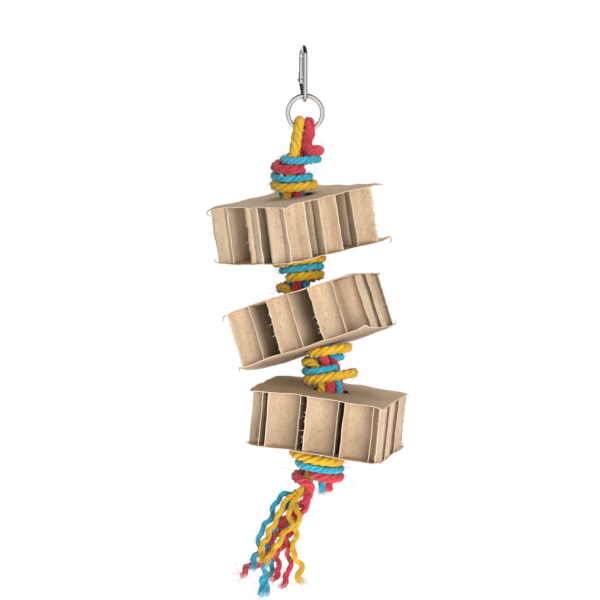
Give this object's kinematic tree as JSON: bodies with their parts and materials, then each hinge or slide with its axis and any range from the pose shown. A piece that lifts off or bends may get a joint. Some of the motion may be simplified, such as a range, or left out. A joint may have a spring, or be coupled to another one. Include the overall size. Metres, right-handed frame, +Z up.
{
  "type": "hanging bird toy",
  "caption": "Hanging shredding toy for pet birds: tilted paper honeycomb blocks threaded on knotted, frayed sisal ropes below a split ring and a spring-gate hook.",
  "frame": {"origin": "top of the inside of the hook's bend, where the toy hangs from a bar", "axes": "+Z up, -Y towards the camera that took the picture, +X to that camera's right"},
  "size_m": [0.1791, 0.161, 0.4852],
  "materials": {
    "nickel_steel": "bright nickel plate",
    "ring_steel": "bright nickel plate",
    "facing_paper": "matte kraft paper",
    "honeycomb_paper": "matte kraft paper",
    "yellow_sisal": "dyed three-strand sisal",
    "red_sisal": "dyed three-strand sisal",
    "blue_sisal": "dyed three-strand sisal"
  },
  "bodies": {
    "toy": {"hook_body": "nickel_steel", "gate_rivet": "nickel_steel", "split_ring": "ring_steel", "block_1_top_sheet": "facing_paper", "block_1_honeycomb": "honeycomb_paper", "block_1_bottom_sheet": "facing_paper", "block_2_top_sheet": "facing_paper", "block_2_honeycomb": "honeycomb_paper", "block_2_bottom_sheet": "facing_paper", "block_3_top_sheet": "facing_paper", "block_3_honeycomb": "honeycomb_paper", "block_3_bottom_sheet": "facing_paper", "yellow_rope": "yellow_sisal", "red_rope": "red_sisal", "blue_rope": "blue_sisal", "yellow_strand_1": "yellow_sisal", "yellow_strand_2": "yellow_sisal", "yellow_strand_3": "yellow_sisal", "red_strand_1": "red_sisal", "red_strand_2": "red_sisal", "red_strand_3": "red_sisal", "blue_strand_1": "blue_sisal", "blue_strand_2": "blue_sisal", "blue_strand_3": "blue_sisal"},
    "gate": {"hook_gate": "nickel_steel", "gate_spring": "nickel_steel"}
  },
  "joints": [
    {"name": "gate_hinge", "type": "hinge", "parent": "toy", "child": "gate", "pos_m": [-0.00183, 0.00902, -0.0265], "axis": [0.9799, 0.1994, 0], "range_deg": [0, 30], "stiffness_Nm_per_rad": 0.01, "springref_deg": -20.05}
  ]
}
